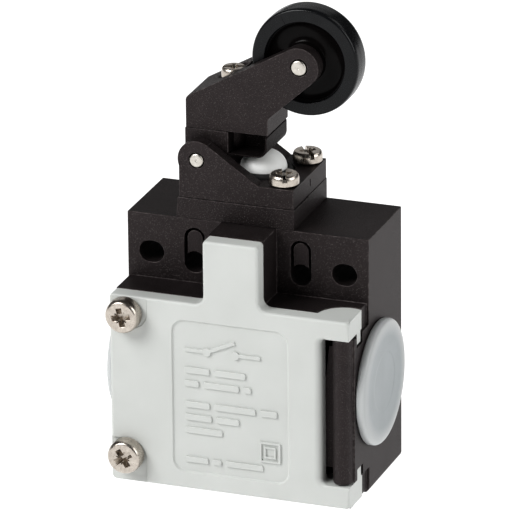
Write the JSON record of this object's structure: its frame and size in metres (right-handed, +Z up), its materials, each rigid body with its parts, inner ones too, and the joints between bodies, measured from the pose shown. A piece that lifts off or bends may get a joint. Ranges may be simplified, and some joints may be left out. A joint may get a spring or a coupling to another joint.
{
  "type": "limit switch",
  "caption": "Plastic limit switch with side cable entries, a hinged front cover, and a spring-returned lever carrying a roller that presses a plunger and a slow-action contact block",
  "frame": {"origin": "on the back fixing face, half way between the two outer fixing holes", "axes": "+Z up from the enclosure to the roller, +Y out of the back fixing face, -Y out of the hinged cover, +X to the cover's hinge side"},
  "size_m": [0.0538, 0.0334, 0.0964],
  "materials": {
    "housing_plastic": "satin, glass-filled",
    "cover_plastic": "satin, light grey",
    "plug_plastic": "milky, slightly translucent",
    "plunger_plastic": "smooth white acetal",
    "carrier_plastic": "satin",
    "roller_plastic": "smooth black nylon",
    "seal_rubber": "matt",
    "screw_steel": "nickel plated",
    "pin_steel": "ground",
    "spring_steel": "drawn wire",
    "contact_brass": "stamped strip",
    "clamp_steel": "zinc plated"
  },
  "bodies": {
    "base": {"enclosure_base": "housing_plastic", "slot_insert_left": "housing_plastic", "slot_insert_right": "housing_plastic", "head_base": "housing_plastic", "head_bracket": "housing_plastic", "contact_housing": "housing_plastic", "head_gasket": "seal_rubber", "plunger_wiper": "seal_rubber", "head_screw_front": "screw_steel", "head_screw_rear": "screw_steel", "terminal_screw_nc_left": "screw_steel", "terminal_screw_nc_right": "screw_steel", "terminal_screw_no_left": "screw_steel", "terminal_screw_no_right": "screw_steel", "hinge_pin": "pin_steel", "pivot_pin": "pin_steel", "plunger_spring": "spring_steel", "contact_spring": "spring_steel", "fixed_contact_nc_left": "contact_brass", "fixed_contact_nc_right": "contact_brass", "fixed_contact_no_left": "contact_brass", "fixed_contact_no_right": "contact_brass", "terminal_clamp_nc_left": "clamp_steel", "terminal_clamp_nc_right": "clamp_steel", "terminal_clamp_no_left": "clamp_steel", "terminal_clamp_no_right": "clamp_steel"},
    "cover": {"enclosure_cover": "cover_plastic", "cover_seal": "seal_rubber", "cover_screw_upper": "screw_steel", "cover_screw_lower": "screw_steel"},
    "lever": {"lever_arm": "housing_plastic", "roller_fork": "housing_plastic", "fork_screw": "screw_steel", "roller_axle": "pin_steel"},
    "roller": {"roller": "roller_plastic"},
    "plunger": {"plunger": "plunger_plastic"},
    "carrier": {"contact_carrier": "carrier_plastic", "bridge_nc": "contact_brass", "bridge_no": "contact_brass", "bridge_spring_nc": "spring_steel", "bridge_spring_no": "spring_steel"},
    "plug_left": {"entry_plug_left": "plug_plastic"},
    "plug_right": {"entry_plug_right": "plug_plastic"}
  },
  "joints": [
    {"name": "lever_hinge", "type": "hinge", "parent": "base", "child": "lever", "pos_m": [-0.0104, -0.01, 0.0201], "axis": [0, 1, 0], "range_deg": [0, 12], "stiffness_Nm_per_rad": 0.5, "springref_deg": -11.46},
    {"name": "roller_spin", "type": "hinge", "parent": "lever", "child": "roller", "pos_m": [0.00955, -0.01, 0.0402], "axis": [0, 1, 0], "continuous": true},
    {"name": "plunger_slide", "type": "slide", "parent": "base", "child": "plunger", "axis": [0, 0, -1], "range_m": [0, 0.00233], "deforming": ["plunger_spring"]},
    {"name": "carrier_slide", "type": "slide", "parent": "base", "child": "carrier", "axis": [0, 0, -1], "range_m": [0, 0.00233], "deforming": ["contact_spring"]},
    {"name": "cover_hinge", "type": "hinge", "parent": "base", "child": "cover", "pos_m": [0.0226, -0.028, -0.0247], "axis": [0, 0, 1], "range_deg": [0, 100]},
    {"name": "plug_left_pull", "type": "slide", "parent": "base", "child": "plug_left", "axis": [-1, 0, 0], "range_m": [0, 0.012]},
    {"name": "plug_right_pull", "type": "slide", "parent": "base", "child": "plug_right", "axis": [1, 0, 0], "range_m": [0, 0.012]}
  ],
  "couplings": [
    {"joint": "plunger_slide", "follows": "lever_hinge", "m_per_rad": 0.01108},
    {"joint": "carrier_slide", "follows": "lever_hinge", "m_per_rad": 0.01108}
  ]
}
